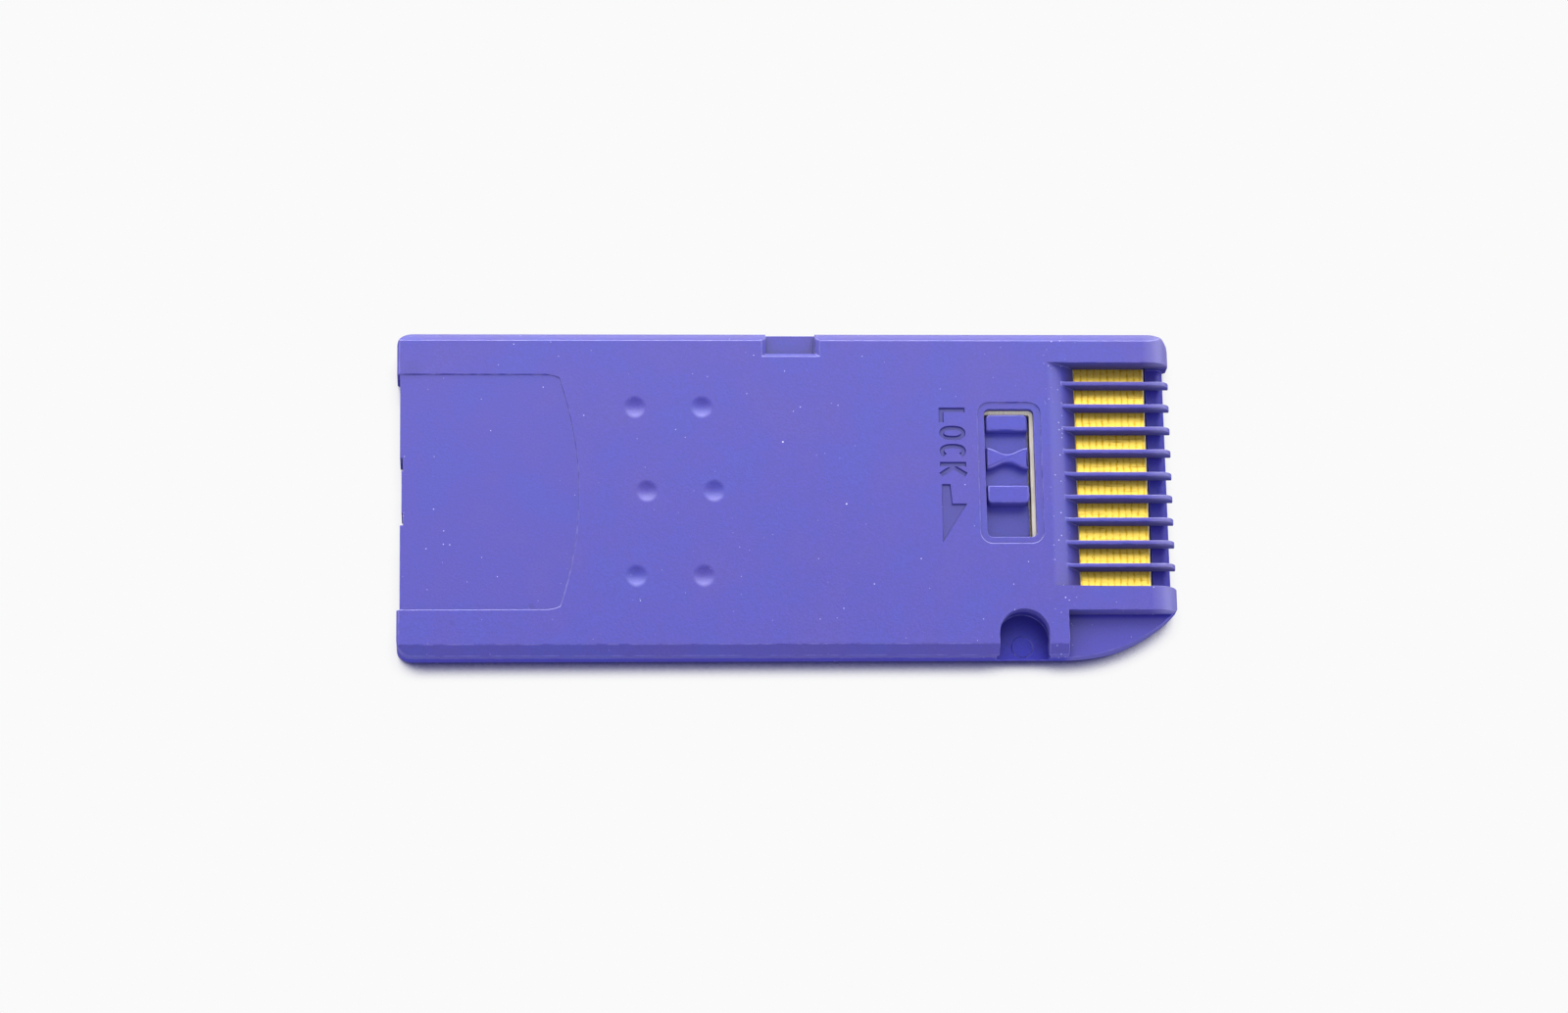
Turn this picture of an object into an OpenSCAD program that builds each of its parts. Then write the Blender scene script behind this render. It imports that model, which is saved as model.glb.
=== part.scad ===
// Slim removable memory card, lying on its label side with its contacts up.
// X runs from the grip end to the contact end, Y across the card, Z up from the label side.
// The origin is the middle of the card's footprint. All sizes are in millimetres.

/* [Card] */
// Length of the card
card_l = 50; // [49:0.5:56]
// Width of the card
card_w = 21.5; // [21:0.25:24]
// Thickness of the card
card_t = 2.8; // [2.7:0.05:3.2]
// Height of the joint line between the two shells
seam_z = 1.5; // [1.4:0.05:1.6]
// Bevel along the long edges of both faces
edge_bevel = 0.6; // [0.3:0.05:0.65]
// Bevel round the grip end
grip_bevel = 0.15; // [0.05:0.05:0.3]
// Radius of the two corners at the grip end
grip_r = 0.97; // [0.5:0.01:1.2]
// Radius of the square corner at the contact end
front_r = 1.35; // [0.8:0.05:1.5]
// Radius of the leading edge on the contact side
nose_r = 1.3; // [0.8:0.05:1.3]
// Bevel of the leading edge on the label side
nose_bevel = 0.5; // [0.2:0.05:0.7]

/* [Walls] */
// Thickness of the outer walls
wall_t = 0.7; // [0.6:0.05:0.9]
// Thickness of the rear shell's plate
plate_t = 0.6; // [0.5:0.05:0.7]
// Thickness of the inner walls round the notches
inner_wall = 0.55; // [0.4:0.05:0.7]
// Thickness of the front shell under the circuit board
floor_t = 0.55; // [0.4:0.05:0.6]

/* [Key corner] */
// Radius of the swept corner
sweep_r = 10.5; // [9.5:0.25:11.5]
// Distance from the front edge to where the sweep begins
sweep_start = 7.46; // [7:0.02:7.6]
// Distance from the front edge to the end wall of the corner step
step_l = 7.13; // [6.8:0.01:7.3]
// Depth of the corner step from the near side
step_w = 2.82; // [2.4:0.02:3]

/* [Contacts] */
// Number of contacts
contacts = 10; // [8:1:10]
// Distance between neighbouring contacts
contact_pitch = 1.53; // [1.4:0.01:1.55]
// Offset of the contact window from the middle of the card
window_y = 1.3; // [1.2:0.05:1.4]
// How far the window's far wall stands over the last contact's place
window_trim = 0.28; // [0:0.02:0.3]
// Distance from the front edge to the window's back edge
window_back = 8.1; // [8:0.02:8.2]
// Length of the ramp at the back of the window
ramp_run = 1.95; // [1.7:0.05:1.95]
// How far the ramp bulges out of a straight line
ramp_bulge = 0.2; // [0.05:0.05:0.3]
// Thickness of a rib at its top edge
rib_t = 0.26; // [0.2:0.02:0.32]
// Extra thickness of a rib at its foot, for both sides together
rib_draft = 0.1; // [0.04:0.02:0.16]
// Depth of the rib tops below the face
rib_drop = 0.55; // [0.4:0.05:0.7]
// Length of the round at a rib's tip
rib_tip = 0.7; // [0.4:0.05:0.9]
// Drop of the round at a rib's tip
rib_tip_drop = 0.9; // [0.5:0.05:0.95]
// Width of a gold pad
pad_w = 1.3; // [1.1:0.02:1.34]
// Length of a gold pad
pad_l = 4.5; // [4.2:0.05:4.5]
// Thickness of a gold pad
pad_t = 0.03; // [0.02:0.01:0.05]
// Distance from the front edge to the pads
pad_front = 1.62; // [1.58:0.01:1.7]
// Length of the lip in front of the contacts
lip_l = 1.46; // [1.2:0.02:1.5]
// How far the lip is set back from the front edge
lip_inset = 0.25; // [0.1:0.05:0.3]
// Radius of the lip's front edge
lip_r = 0.6; // [0.3:0.05:0.6]

/* [Circuit board] */
// Thickness of the circuit board
board_t = 0.5; // [0.4:0.05:0.5]
// Height of the circuit board's underside
board_z = 0.7; // [0.65:0.05:0.75]
// Clearance round the circuit board
board_gap = 0.1; // [0.05:0.05:0.2]
// Width of the ledge that carries the circuit board
ledge_w = 0.6; // [0.4:0.05:0.9]
// Radius of the corners inside the shells
pocket_r = 0.5; // [0.3:0.05:0.7]

/* [Lock] */
// Distance from the front edge to the middle of the lock window
lock_back = 10.6; // [10.5:0.02:10.8]
// Width of the lock window
slot_w = 3.2; // [3.1:0.05:3.3]
// Distance from the far side to the lock window
slot_inset = 5.22; // [5:0.02:5.6]
// Corner radius of the lock window
slot_r = 0.35; // [0.2:0.05:0.5]
// Width of the shallow border round the lock window
border_w = 0.45; // [0.3:0.05:0.5]
// Depth of that border
border_d = 0.12; // [0.05:0.01:0.15]
// Width of the slider
slider_w = 2.7; // [2.5:0.01:2.75]
// Length of the slider
slider_l = 5.94; // [5.8:0.02:6]
// Gap between the slider and the window on the grip side
slider_side = 0.1; // [0.08:0.01:0.15]
// Gap between the slider and the window's far end when unlocked
slider_end = 0.3; // [0.1:0.01:0.35]
// Distance that the slider travels to lock
slider_travel = 2.2; // [1.9:0.05:2.3]
// Gap between the slider and the window's near end when locked
slider_stop = 0.14; // [0.08:0.02:0.2]
// Depth of the slider's top below the face
slider_drop = 0.3; // [0.2:0.05:0.4]
// Depth of the hollows between the slider's bars
hollow_d = 0.66; // [0.5:0.02:0.7]
// Gap between the slider and the side of its guide
guide_gap = 0.16; // [0.12:0.01:0.2]
// Gap between the slider's far end and its guide
guide_end = 0.06; // [0.05:0.01:0.1]
// How far the guide reaches beyond the lock window
guide_reach = 0.6; // [0.3:0.05:0.8]

/* [Notches] */
// Place of the far notch along the card, from its middle
far_notch_x = 0.37; // [-2:0.01:2]
// Width of the far notch
far_notch_w = 3.18; // [2.5:0.02:3.5]
// Depth of the far notch from the edge
far_notch_d = 1.4; // [1.2:0.05:1.5]
// Height of the far notch's floor
far_notch_z = 1.9; // [1.85:0.05:2]
// Bevel round the rim of the far notch
notch_rim = 0.28; // [0.1:0.02:0.34]
// Distance from the front edge to the middle of the near notch
near_notch_back = 10; // [9.9:0.02:10.3]
// Width of the near notch
near_notch_w = 3.2; // [3:0.05:3.3]
// Depth of the near notch from the edge
near_notch_d = 2.9; // [2.6:0.05:3]
// Height of the near notch's floor
near_notch_z = 0.8; // [0.75:0.05:1]
// Extra width of the near notch below its lip, each side
near_notch_relief = 0.12; // [0.05:0.01:0.2]
// Height of the near notch's lip
near_notch_lip = 0.86; // [0.7:0.02:1]

/* [Grip end] */
// Length of the label recess on the contact side
label_l = 11.64; // [10:0.02:13]
// Width of the label recess
label_w = 15.7; // [14:0.1:17]
// Radius of the label recess's curved end
label_r = 24; // [20:0.5:30]
// Radius of the label recess's corners
label_corner = 2.2; // [1:0.1:3]
// Depth of the label recess
label_d = 0.1; // [0.05:0.01:0.15]
// Length of the label recess on the label side
front_label_l = 39; // [30:0.5:40]
// How far the recess is set back at the grip end
end_inset = 0.2; // [0.1:0.02:0.4]
// Width of the moulding mark in the grip end
gate_w = 4.45; // [3:0.05:5]
// Depth of the moulding mark in the grip end
gate_d = 0.2; // [0.1:0.02:0.3]
// Width of the raised middle of the moulding mark
gate_core_w = 2.8; // [1.5:0.05:3]
// Diameter of a grip dimple
dimple_d = 1.58; // [1.2:0.02:1.8]
// Depth of a grip dimple
dimple_depth = 0.13; // [0.08:0.01:0.2]
// Distance between the rows of grip dimples
dimple_row = 5.63; // [4.5:0.01:6]
// Distance between the two dimples of a row
dimple_gap = 4.3; // [3.5:0.01:5]
// Distance from the grip end to the first dimple of the outer rows
dimple_back = 15.26; // [14:0.02:17]

/* [Chips] */
// Length of a memory chip over its leads
memory_l = 17; // [15:0.1:17.4]
// Width of a memory chip
memory_w = 12; // [10:0.1:13.5]
// Length of a memory chip's leads, each end
lead_l = 0.8; // [0.6:0.05:1]
// Distance between neighbouring leads
lead_pitch = 0.5; // [0.4:0.05:0.6]
// Height of the chips above the board
chip_h = 0.85; // [0.7:0.05:0.85]
// Side of the controller chip
controller_w = 6.5; // [5:0.1:6.6]
// Distance from the middle of the lock window to the middle of the controller chip
controller_back = 5.8; // [5.7:0.05:6.5]

/* [Hidden] */
$fn = 64;

// Edges and levels of the card
front_x = card_l / 2;
grip_x = -card_l / 2;
far_y = card_w / 2;
near_y = -card_w / 2;
plate_z = card_t - plate_t;
board_top = board_z + board_t;
over = 1;

// Contact window
window_w = contacts * contact_pitch;
window_x = front_x - window_back;
window_far = window_y + window_w / 2 - window_trim;
window_near = window_y - window_w / 2;
foot_gap = 0.03;
foot_z = board_top + pad_t + foot_gap;
ramp_end = window_x + ramp_run;
rib_top = card_t - rib_drop;
comb_wall = 0.6;
comb_x = window_x - comb_wall;
lip_x = front_x - lip_l;
lip_drop = 0.1;
lip_z = foot_z - lip_drop;
lip_end = front_x - lip_inset;
arc_steps = 8;

// Hollow of the shells
hollow_x0 = grip_x + wall_t + end_inset + gate_d;
pocket_x1 = lip_x;
side_y = far_y - wall_t;

// Near notch and key corner
near_notch_x = front_x - near_notch_back;
near_notch_y = near_y + near_notch_d - near_notch_w / 2;
near_notch_low_r = near_notch_w / 2 + near_notch_relief;
step_x = front_x - step_l;
step_y = near_y + step_w;
comb_near = max(window_near - inner_wall, step_y + inner_wall + board_gap);
comb_far = min(window_far + inner_wall, side_y - board_gap);

// Lock
lock_x = front_x - lock_back;
slot_far = far_y - slot_inset;
slot_near = slot_far - slider_end - slider_l - slider_travel - slider_stop;
slider_x = lock_x - slot_w / 2 + slider_side + slider_w / 2;
slider_far = slot_far - slider_end;
slider_near = slider_far - slider_l;
slider_top = card_t - slider_drop;
hollow_z = slider_top - hollow_d;
wiper_t = 0.08;
wiper_w = 1.8;
wiper_finger_w = 0.5;
wiper_finger_l = 1.6;
wiper_bridge = 1;
wiper_back = 4.4;
wiper_gap = 0.02;
wiper_y = slider_far - wiper_back;
wiper_z = board_top + pad_t + wiper_gap;
lock_pad_w = 0.7;
lock_pad_spare = 0.5;
base_z = wiper_z + wiper_t;
base_t = 0.17;
base_left = 0.6;
base_right = 0.04;
base_reach = 0.55;
shoulder_gap = 0.08;
shoulder_end = 0.3;
slider_weld = base_t / 2;
guide_x = slider_x + slider_w / 2 + guide_gap;
guide_top = plate_z - 0.03;
guide_r = 0.15;
bar_far = 1.09;
bar_near = 1.18;
bar_r = 0.32;
tie_end = 1.41;
tie_mid = 0.57;
tie_y = 2.93;

// Grip end
dimple_x = grip_x + dimple_back;
dimple_shift = 0.72;
dimple_r = (dimple_d * dimple_d / 4 + dimple_depth * dimple_depth) / (2 * dimple_depth);

// Parts on the board
board_x0 = hollow_x0 + board_gap;
controller_x = lock_x - controller_back;
memory_room = controller_x - controller_w / 2 - board_x0;
memory_gap = (memory_room - 2 * memory_w) / 3;
memory_x = [for (k = [0, 1]) board_x0 + memory_gap + memory_w / 2 + k * (memory_w + memory_gap)];
controller_t = 0.75;
lead_w = 0.2;
lead_t = 0.12;
lead_foot = 0.35;
part_edge = 1.75;
part_step = 1.5;
small_part_y = [for (side = [-1, 1]) for (k = [0, 1]) side * (side_y - part_edge - k * part_step)];
crystal_l = 3.2;
crystal_w = 1.6;
crystal_side = 2.3;
crystal_x = controller_x + crystal_side;
crystal_y = 5.6;
chip_stand = 0.1;
mark_depth = 0.05;

// A box between two corners
module block(low, high) {
    translate(low) cube(high - low);
}

// A box with round upright corners
module round_block(low, high, r) {
    block([low[0] + r, low[1], low[2]], [high[0] - r, high[1], high[2]]);
    block([low[0], low[1] + r, low[2]], [high[0], high[1] - r, high[2]]);
    for (x = [low[0] + r, high[0] - r])
        for (y = [low[1] + r, high[1] - r])
            translate([x, y, low[2]]) cylinder(r = r, h = high[2] - low[2]);
}

// An outline in X and Z, drawn out along Y
module across(y0, y1, points) {
    translate([0, y1, 0]) rotate([90, 0, 0]) linear_extrude(y1 - y0) polygon(points);
}

// An outline in Y and Z, drawn out along X
module along(x0, x1, points) {
    translate([x0, 0, 0]) rotate([90, 0, 90]) linear_extrude(x1 - x0) polygon(points);
}

// An upright slot that ends in a half circle towards the far side
module tongue(x, y, r, z0, z1) {
    translate([x, y, z0]) cylinder(r = r, h = z1 - z0);
    block([x - r, near_y - over, z0], [x + r, y, z1]);
}

// Section of the card across its width
function width_section() = [
    [near_y + edge_bevel, 0], [far_y - edge_bevel, 0],
    [far_y, edge_bevel], [far_y, card_t - edge_bevel],
    [far_y - edge_bevel, card_t], [near_y + edge_bevel, card_t],
    [near_y, card_t - edge_bevel], [near_y, edge_bevel]
];

// Section of the card along its length, with the round leading edge
function length_section() = concat(
    [
        [grip_x, grip_bevel], [grip_x + grip_bevel, 0],
        [front_x - nose_bevel, 0], [front_x, nose_bevel]
    ],
    [for (i = [0 : arc_steps])
        [front_x - nose_r + nose_r * cos(90 * i / arc_steps), card_t - nose_r + nose_r * sin(90 * i / arc_steps)]],
    [[grip_x + grip_bevel, card_t], [grip_x, card_t - grip_bevel]]
);

// Outline of the card seen from above, with its swept key corner
module plan_block() {
    sweep_x = front_x - sweep_start;
    difference() {
        intersection() {
            round_block([grip_x, near_y, 0], [front_x + 2 * over, far_y, card_t], grip_r);
            round_block([grip_x - 2 * over, near_y, 0], [front_x, far_y, card_t], front_r);
        }
        difference() {
            block([sweep_x, near_y - over, -over], [front_x + over, near_y + sweep_r, card_t + over]);
            translate([sweep_x, near_y + sweep_r, -2 * over]) cylinder(r = sweep_r, h = card_t + 4 * over, $fn = 128);
        }
    }
}

// Outer form of the closed card
module card_form() {
    intersection() {
        plan_block();
        along(grip_x, front_x, width_section());
        across(near_y, far_y, length_section());
    }
}

// Set-back of the grip end between its corners, with the moulding mark
module grip_recess() {
    block([grip_x - over, -label_w / 2, -over], [grip_x + end_inset, label_w / 2, card_t + over]);
    difference() {
        block([grip_x - over, -gate_w / 2, -over], [grip_x + end_inset + gate_d, gate_w / 2, card_t + over]);
        block([grip_x + end_inset + gate_d / 2, -gate_core_w / 2, -over],
              [grip_x + wall_t + end_inset, gate_core_w / 2, card_t + over]);
    }
}

// Label recess on the contact side, with its curved end
module rear_label_recess() {
    z0 = card_t - label_d;
    intersection() {
        round_block([grip_x - 3 * over, -label_w / 2, z0], [grip_x + label_l, label_w / 2, card_t + over], label_corner);
        translate([grip_x + label_l - label_r, 0, z0 - over]) cylinder(r = label_r, h = 3 * over, $fn = 128);
    }
}

// Six round dimples that give the thumb a hold
module grip_dimples() {
    for (row = [-1 : 1])
        for (i = [0, 1])
            translate([
                dimple_x + i * dimple_gap + (row == 0 ? dimple_shift : 0),
                row * dimple_row,
                card_t + dimple_r - dimple_depth
            ]) sphere(r = dimple_r);
}

// Notch in the far edge, with a bevelled rim
module far_notch() {
    x0 = far_notch_x - far_notch_w / 2;
    x1 = far_notch_x + far_notch_w / 2;
    y0 = far_y - far_notch_d;
    rim_z = card_t - notch_rim;
    block([x0, y0, far_notch_z], [x1, far_y + over, card_t + over]);
    intersection() {
        across(y0 - over, far_y + over, [
            [x0, rim_z], [x1, rim_z],
            [x1 + 2 * notch_rim, card_t + notch_rim], [x0 - 2 * notch_rim, card_t + notch_rim]
        ]);
        along(x0 - over, x1 + over, [
            [y0, rim_z], [far_y + over, rim_z],
            [far_y + over, card_t + notch_rim], [y0 - 2 * notch_rim, card_t + notch_rim]
        ]);
    }
}

// Notch in the near edge, wider below its lip
module near_notch() {
    lip_z0 = card_t - near_notch_lip;
    tongue(near_notch_x, near_notch_y, near_notch_w / 2, near_notch_z, card_t + over);
    tongue(near_notch_x, near_notch_y, near_notch_low_r, near_notch_z, lip_z0);
}

// Part of the near notch's surroundings that stays solid in both shells
module near_notch_wall(extra) {
    tongue(near_notch_x, near_notch_y, near_notch_low_r + inner_wall + extra, -over, card_t + over);
}

// Corner step that stops the card going in the wrong way round
module corner_step() {
    block([step_x, near_y - over, seam_z], [front_x + over, step_y, card_t + over]);
}

// Round of the ramp, worked out from its run, its drop and its bulge
ramp_drop = card_t - foot_z;
ramp_chord = norm([ramp_run, ramp_drop]);
ramp_r = (ramp_chord * ramp_chord / 4 + ramp_bulge * ramp_bulge) / (2 * ramp_bulge);
ramp_half = asin(ramp_chord / 2 / ramp_r);
ramp_tilt = atan2(ramp_run, ramp_drop);
ramp_centre = [
    window_x + ramp_run / 2 - (ramp_r - ramp_bulge) * cos(ramp_tilt),
    card_t - ramp_drop / 2 - (ramp_r - ramp_bulge) * sin(ramp_tilt)
];

// Space of the contact window: the ramp, then the floor out to the front edge
function window_section() = concat(
    [[window_x, card_t + over]],
    [for (i = [0 : arc_steps])
        let (a = ramp_tilt + ramp_half - 2 * ramp_half * i / arc_steps)
        ramp_centre + ramp_r * [cos(a), sin(a)]],
    [[ramp_end, foot_z - over], [front_x + over, foot_z - over], [front_x + over, card_t + over]]
);

// Round tip of a rib, from its front end up to its top edge
function rib_tip_round() = [for (i = [arc_steps : -1 : 0])
    let (a = 90 * i / arc_steps)
    [front_x - rib_tip * (1 - sin(a)), rib_top - rib_tip_drop * (1 - cos(a))]];

// One rib of the comb, with its round tip
module rib(y) {
    foot_t = rib_t + rib_draft;
    intersection() {
        along(comb_x, front_x + over, [
            [y - foot_t / 2, foot_z - 2 * over], [y + foot_t / 2, foot_z - 2 * over], [y + foot_t / 2, foot_z],
            [y + rib_t / 2, rib_top], [y - rib_t / 2, rib_top], [y - foot_t / 2, foot_z]
        ]);
        across(y - over, y + over, concat(
            [
                [comb_x - over, rib_top], [comb_x - over, foot_z - 3 * over],
                [front_x + 2 * over, foot_z - 3 * over], [front_x + 2 * over, rib_top - rib_tip_drop - over]
            ],
            rib_tip_round()
        ));
    }
}

// Contact window with its comb of ribs left standing
module contact_window() {
    difference() {
        across(window_near, window_far, window_section());
        for (i = [1 : contacts - 1]) rib(window_near + i * contact_pitch);
    }
}

// Part of the rear shell that reaches down to the board round the contacts
module comb_foot() {
    block([comb_x, comb_near, foot_z], [lip_x - board_gap, comb_far, seam_z]);
    block([comb_x, window_near, foot_z], [front_x, window_far, seam_z]);
}

// Lock window with its shallow border
module lock_window() {
    round_block([lock_x - slot_w / 2, slot_near, seam_z], [lock_x + slot_w / 2, slot_far, card_t + over], slot_r);
    round_block([lock_x - slot_w / 2 - border_w, slot_near - border_w, card_t - border_d],
                [lock_x + slot_w / 2 + border_w, slot_far + border_w, card_t + over], slot_r + border_w);
}

// Hollow of the rear shell above the joint line
module rear_hollow() {
    difference() {
        round_block([hollow_x0, -side_y, -over], [comb_x, side_y, plate_z], pocket_r);
        block([far_notch_x - far_notch_w / 2 - inner_wall, far_y - far_notch_d - inner_wall, -2 * over],
              [far_notch_x + far_notch_w / 2 + inner_wall, far_y, card_t]);
        near_notch_wall(0);
    }
}

module rear_shell() {
    color("slateblue")
    difference() {
        union() {
            intersection() {
                card_form();
                block([grip_x - over, near_y - over, seam_z], [front_x + over, far_y + over, card_t + over]);
            }
            comb_foot();
        }
        rear_hollow();
        contact_window();
        rear_label_recess();
        grip_recess();
        grip_dimples();
        far_notch();
        near_notch();
        corner_step();
        lock_window();
    }
}

// Outline of the circuit board's place, grown by a clearance
module board_space(z0, z1, grow) {
    x0 = board_x0 - grow;
    x1 = pocket_x1 - board_gap + grow;
    y1 = side_y - board_gap + grow;
    difference() {
        round_block([x0, -y1, z0], [x1, y1, z1], pocket_r);
        near_notch_wall(board_gap - grow);
        block([step_x - inner_wall - board_gap + grow, near_y - over, -2 * over],
              [front_x + over, step_y + inner_wall + board_gap - grow, card_t + 2 * over]);
    }
}

// Space above and in front of the lip, with the lip's round front edge
function lip_section() = concat(
    [[lip_x, card_t], [lip_x, lip_z]],
    [for (i = [0 : arc_steps])
        let (a = 90 * i / arc_steps)
        [lip_end - lip_r * (1 - sin(a)), lip_z - lip_r * (1 - cos(a))]],
    [[lip_end, -over], [front_x + over, -over], [front_x + over, card_t]]
);

module front_shell() {
    mark_r = 0.69;
    mark_d = 0.03;
    mark_in = 0.43;
    color("mediumslateblue")
    difference() {
        intersection() {
            card_form();
            block([grip_x - over, near_y - over, -over], [front_x + over, far_y + over, seam_z]);
        }
        board_space(board_z, seam_z + over, board_gap);
        board_space(floor_t, board_z + over, board_gap - ledge_w);
        across(window_near, window_far, lip_section());
        near_notch();
        translate([near_notch_x, near_notch_y - mark_in, near_notch_z - mark_d])
            cylinder(r = mark_r, h = over);
        grip_recess();
        block([grip_x - over, -label_w / 2, -over], [grip_x + over, label_w / 2, label_d]);
        round_block([grip_x - 3 * over, -label_w / 2, -over], [grip_x + front_label_l, label_w / 2, label_d], label_corner);
    }
}

module circuit_board() {
    color("wheat") board_space(board_z, board_top, 0);
}

module contact_pad(i) {
    y = window_near + (i - 0.5) * contact_pitch;
    x1 = front_x - pad_front;
    color("gold") block([x1 - pad_l, y - pad_w / 2, board_top], [x1, y + pad_w / 2, board_top + pad_t]);
}

// Bar across the slider, with two round corners towards one end
module slider_bar(y_flat, y_round) {
    x0 = slider_x - slider_w / 2;
    x1 = slider_x + slider_w / 2;
    low = min(y_flat, y_round);
    high = max(y_flat, y_round);
    keep = y_round > y_flat ? [low - 2 * bar_r, high] : [low, high + 2 * bar_r];
    intersection() {
        round_block([x0, keep[0], hollow_z - base_t], [x1, keep[1], slider_top], bar_r);
        block([x0, low, hollow_z - base_t], [x1, high, slider_top]);
    }
}

// Half height of the waisted bar, at a place from -1 to 1 across it
function tie_half(u) = tie_mid / 2 + (tie_end - tie_mid) / 4 * (1 - cos(180 * u));

// Outline of the waisted bar
function tie_outline() = let (n = 24, w = slider_w / 2) concat(
    [for (i = [-n : n]) [w * i / n, tie_half(i / n)]],
    [for (i = [n : -1 : -n]) [w * i / n, -tie_half(i / n)]]
);

module lock_slider() {
    x0 = slider_x - slider_w / 2;
    x1 = slider_x + slider_w / 2;
    wall_x = lock_x - slot_w / 2;
    core_z = base_z + base_t;
    color("slateblue")
    union() {
        // plate that rides on the board and closes the window behind the slider
        block([wall_x - base_left, slot_near - base_reach, base_z], [x1 + base_right, slider_far, core_z]);
        // core and its three bars
        intersection() {
            round_block([x0, slider_near, core_z - slider_weld], [x1, slider_far, hollow_z], bar_r);
            block([x0, slider_near, core_z - slider_weld], [x1, slider_far, hollow_z]);
        }
        slider_bar(slider_far - bar_far, slider_far);
        slider_bar(slider_near + bar_near, slider_near);
        translate([slider_x, slider_far - tie_y, hollow_z - base_t])
            linear_extrude(slider_top - hollow_z + base_t) polygon(tie_outline());
        // shoulder that runs under the edge of the window and keeps the slider in
        block([wall_x - base_left, slot_near, core_z - slider_weld],
              [wall_x - shoulder_gap / 2, slider_far - shoulder_end, plate_z - shoulder_gap]);
    }
}

// Guide on the board, along the far end and one side of the slider
module slider_guide() {
    x0 = lock_x - slot_w / 2 - guide_reach;
    x1 = comb_x - board_gap;
    y0 = slot_near - guide_reach;
    color("linen")
    difference() {
        block([x0, y0, board_top], [x1, slot_far + guide_reach, guide_top]);
        round_block([x0 - over, y0 - over, board_top - over], [guide_x, slider_far + guide_end, guide_top + over], guide_r);
    }
}

module lock_wiper() {
    x0 = slider_x - wiper_w / 2;
    x1 = slider_x + wiper_w / 2;
    top = wiper_z + wiper_t;
    color("goldenrod") {
        block([x0, wiper_y + wiper_finger_l, wiper_z], [x1, wiper_y + wiper_finger_l + wiper_bridge, top]);
        for (x = [x0, x1 - wiper_finger_w])
            block([x, wiper_y, wiper_z], [x + wiper_finger_w, wiper_y + wiper_finger_l, top]);
    }
}

module lock_pad(i) {
    shift = (wiper_w - wiper_finger_w) / 2;
    x = slider_x + (i == 1 ? -shift : shift);
    color("gold")
        block([x - lock_pad_w / 2, wiper_y - slider_travel - lock_pad_spare, board_top],
              [x + lock_pad_w / 2, wiper_y + lock_pad_spare, board_top + pad_t]);
}

// One bent lead, standing out along +Y from the body
module lead(x, y, body_mid) {
    foot_y = y + lead_l;
    translate([x + lead_w / 2, 0, 0]) rotate([90, 0, -90]) linear_extrude(lead_w) polygon([
        [-y + 0.1, body_mid], [-y + 0.1, body_mid - lead_t], [-y - lead_l / 3, body_mid - lead_t],
        [-foot_y + lead_foot, board_top], [-foot_y, board_top], [-foot_y, board_top + lead_t],
        [-foot_y + lead_foot - lead_t / 2, board_top + lead_t], [-y - lead_l / 3 - lead_t, body_mid]
    ]);
}

module memory_chip(i) {
    x = memory_x[i - 1];
    body_l = memory_l - 2 * lead_l;
    mark_in = 1;
    mark_r = 0.4;
    body_mid = board_top + (chip_stand + chip_h) / 2;
    leads = floor(memory_w / lead_pitch) - 1;
    color("dimgray")
    union() {
        difference() {
            block([x - memory_w / 2, -body_l / 2, board_top + chip_stand],
                  [x + memory_w / 2, body_l / 2, board_top + chip_h]);
            translate([x - memory_w / 2 + mark_in, -body_l / 2 + mark_in, board_top + chip_h - mark_depth])
                cylinder(r = mark_r, h = over);
        }
        for (k = [0 : leads - 1])
            for (side = [0, 1])
                mirror([0, side, 0]) lead(x + (k - (leads - 1) / 2) * lead_pitch, body_l / 2, body_mid);
    }
}

module controller_chip() {
    w = controller_w / 2;
    pin_w = 0.22;
    pins = 10;
    pin_out = 0.04;
    pin_h = 0.22;
    mark_in = 0.8;
    mark_r = 0.3;
    color("dimgray")
    difference() {
        union() {
            block([controller_x - w, -w, board_top + chip_stand / 2], [controller_x + w, w, board_top + controller_t]);
            for (turn = [0 : 90 : 270])
                for (k = [0 : pins - 1])
                    translate([controller_x, 0, board_top]) rotate([0, 0, turn])
                        translate([(k - (pins - 1) / 2) * 2 * pin_w - pin_w / 2, w - 2 * pin_out, 0])
                            cube([pin_w, 3 * pin_out, pin_h]);
        }
        translate([controller_x - w + mark_in, -w + mark_in, board_top + controller_t - mark_depth])
            cylinder(r = mark_r, h = over);
    }
}

// Ceramic part with a metal cap on each end
module end_capped(x, y, l, w, h) {
    cap = l / 5;
    trim = 0.03;
    block([x - l / 2, y - w / 2, board_top], [x - l / 2 + cap, y + w / 2, board_top + h]);
    block([x - l / 2 + cap, y - w / 2 + trim, board_top + trim], [x + l / 2 - cap, y + w / 2 - trim, board_top + h - trim]);
    block([x + l / 2 - cap, y - w / 2, board_top], [x + l / 2, y + w / 2, board_top + h]);
}

module capacitor(i) {
    color("peru") end_capped(controller_x - part_edge, small_part_y[i - 1], 1.6, 0.8, 0.7);
}

module resistor(i) {
    color("darkslategray") end_capped(controller_x + part_step / 2, small_part_y[i - 1], 1, 0.5, 0.35);
}

module crystal() {
    flange_t = 0.5;
    lid_t = 0.2;
    lid_in = 0.15;
    corner_r = 0.2;
    half = [crystal_w / 2, crystal_l / 2];
    lid = half - [lid_in, lid_in];
    color("silver") translate([crystal_x, crystal_y, board_top]) {
        round_block([-half[0], -half[1], 0], [half[0], half[1], flange_t], corner_r);
        round_block([-lid[0], -lid[1], flange_t], [lid[0], lid[1], flange_t + lid_t], corner_r);
    }
}

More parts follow.
